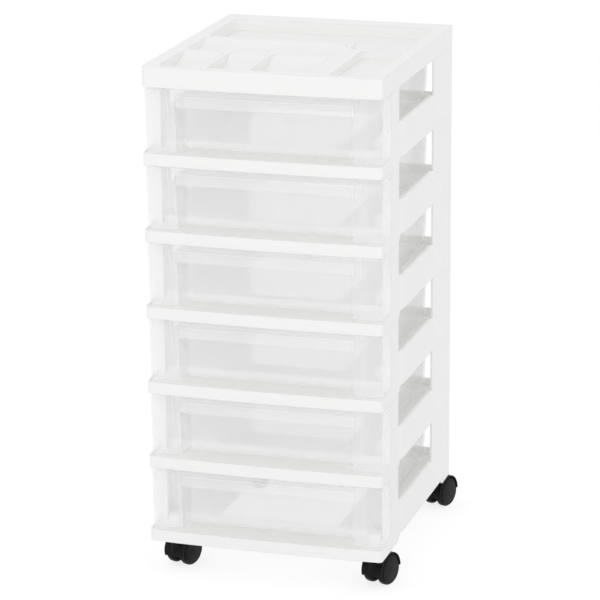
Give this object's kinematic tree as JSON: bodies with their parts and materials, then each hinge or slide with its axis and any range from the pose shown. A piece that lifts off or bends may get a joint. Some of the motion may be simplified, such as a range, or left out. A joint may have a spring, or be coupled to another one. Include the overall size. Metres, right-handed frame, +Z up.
{
  "type": "rolling drawer tower",
  "caption": "Tall rolling tower of stacked white moulded frames with clear scoop-front drawers, a compartmented tray on top and twin-wheel casters.",
  "frame": {"origin": "on the floor, under the middle of the outline of the tower with its casters trailing as pictured", "axes": "+Z up, -Y to the front, where the drawers open, +X to the right seen from the front"},
  "size_m": [0.3144, 0.3925, 0.6647],
  "materials": {
    "white_plastic": "opaque white moulded polypropylene, satin",
    "clear_plastic": "clear, slightly milky moulded plastic",
    "black_plastic": "black moulded nylon",
    "steel": "plain steel pins"
  },
  "bodies": {
    "tower": {"organizer_tray": "white_plastic", "tier_frame_1": "white_plastic", "tier_frame_2": "white_plastic", "tier_frame_3": "white_plastic", "tier_frame_4": "white_plastic", "tier_frame_5": "white_plastic", "base_frame": "white_plastic", "caster_sleeves": "black_plastic"},
    "drawer_1": {"drawer_1": "clear_plastic"},
    "drawer_2": {"drawer_2": "clear_plastic"},
    "drawer_3": {"drawer_3": "clear_plastic"},
    "drawer_4": {"drawer_4": "clear_plastic"},
    "drawer_5": {"drawer_5": "clear_plastic"},
    "drawer_6": {"drawer_6": "clear_plastic"},
    "caster_front_left": {"caster_front_left_stem": "steel", "caster_front_left_hood": "black_plastic", "caster_front_left_axle": "steel"},
    "caster_front_left_inner_wheel": {"caster_front_left_inner_wheel": "black_plastic"},
    "caster_front_left_outer_wheel": {"caster_front_left_outer_wheel": "black_plastic"},
    "caster_front_right": {"caster_front_right_stem": "steel", "caster_front_right_hood": "black_plastic", "caster_front_right_axle": "steel"},
    "caster_front_right_inner_wheel": {"caster_front_right_inner_wheel": "black_plastic"},
    "caster_front_right_outer_wheel": {"caster_front_right_outer_wheel": "black_plastic"},
    "caster_rear_left": {"caster_rear_left_stem": "steel", "caster_rear_left_hood": "black_plastic", "caster_rear_left_axle": "steel"},
    "caster_rear_left_inner_wheel": {"caster_rear_left_inner_wheel": "black_plastic"},
    "caster_rear_left_outer_wheel": {"caster_rear_left_outer_wheel": "black_plastic"},
    "caster_rear_right": {"caster_rear_right_stem": "steel", "caster_rear_right_hood": "black_plastic", "caster_rear_right_axle": "steel"},
    "caster_rear_right_inner_wheel": {"caster_rear_right_inner_wheel": "black_plastic"},
    "caster_rear_right_outer_wheel": {"caster_rear_right_outer_wheel": "black_plastic"}
  },
  "joints": [
    {"name": "drawer_1_slide", "type": "slide", "parent": "tower", "child": "drawer_1", "axis": [0, -1, 0], "range_m": [0, 0.293]},
    {"name": "drawer_2_slide", "type": "slide", "parent": "tower", "child": "drawer_2", "axis": [0, -1, 0], "range_m": [0, 0.293]},
    {"name": "drawer_3_slide", "type": "slide", "parent": "tower", "child": "drawer_3", "axis": [0, -1, 0], "range_m": [0, 0.293]},
    {"name": "drawer_4_slide", "type": "slide", "parent": "tower", "child": "drawer_4", "axis": [0, -1, 0], "range_m": [0, 0.293]},
    {"name": "drawer_5_slide", "type": "slide", "parent": "tower", "child": "drawer_5", "axis": [0, -1, 0], "range_m": [0, 0.293]},
    {"name": "drawer_6_slide", "type": "slide", "parent": "tower", "child": "drawer_6", "axis": [0, -1, 0], "range_m": [0, 0.293]},
    {"name": "caster_front_left_swivel", "type": "hinge", "parent": "tower", "child": "caster_front_left", "pos_m": [-0.13326, -0.15015, 0.04], "axis": [0, 0, 1], "continuous": true},
    {"name": "caster_front_left_inner_wheel_roll", "type": "hinge", "parent": "caster_front_left", "child": "caster_front_left_inner_wheel", "pos_m": [-0.12832, -0.13494, 0.02], "axis": [0.9511, -0.309, 0], "continuous": true},
    {"name": "caster_front_left_outer_wheel_roll", "type": "hinge", "parent": "caster_front_left", "child": "caster_front_left_outer_wheel", "pos_m": [-0.12832, -0.13494, 0.02], "axis": [0.9511, -0.309, 0], "continuous": true},
    {"name": "caster_front_right_swivel", "type": "hinge", "parent": "tower", "child": "caster_front_right", "pos_m": [0.13074, -0.15015, 0.04], "axis": [0, 0, 1], "continuous": true},
    {"name": "caster_front_right_inner_wheel_roll", "type": "hinge", "parent": "caster_front_right", "child": "caster_front_right_inner_wheel", "pos_m": [0.13568, -0.13494, 0.02], "axis": [0.9511, -0.309, 0], "continuous": true},
    {"name": "caster_front_right_outer_wheel_roll", "type": "hinge", "parent": "caster_front_right", "child": "caster_front_right_outer_wheel", "pos_m": [0.13568, -0.13494, 0.02], "axis": [0.9511, -0.309, 0], "continuous": true},
    {"name": "caster_rear_left_swivel", "type": "hinge", "parent": "tower", "child": "caster_rear_left", "pos_m": [-0.13326, 0.15585, 0.04], "axis": [0, 0, 1], "continuous": true},
    {"name": "caster_rear_left_inner_wheel_roll", "type": "hinge", "parent": "caster_rear_left", "child": "caster_rear_left_inner_wheel", "pos_m": [-0.12832, 0.17106, 0.02], "axis": [0.9511, -0.309, 0], "continuous": true},
    {"name": "caster_rear_left_outer_wheel_roll", "type": "hinge", "parent": "caster_rear_left", "child": "caster_rear_left_outer_wheel", "pos_m": [-0.12832, 0.17106, 0.02], "axis": [0.9511, -0.309, 0], "continuous": true},
    {"name": "caster_rear_right_swivel", "type": "hinge", "parent": "tower", "child": "caster_rear_right", "pos_m": [0.13074, 0.15585, 0.04], "axis": [0, 0, 1], "continuous": true},
    {"name": "caster_rear_right_inner_wheel_roll", "type": "hinge", "parent": "caster_rear_right", "child": "caster_rear_right_inner_wheel", "pos_m": [0.13568, 0.17106, 0.02], "axis": [0.9511, -0.309, 0], "continuous": true},
    {"name": "caster_rear_right_outer_wheel_roll", "type": "hinge", "parent": "caster_rear_right", "child": "caster_rear_right_outer_wheel", "pos_m": [0.13568, 0.17106, 0.02], "axis": [0.9511, -0.309, 0], "continuous": true}
  ]
}
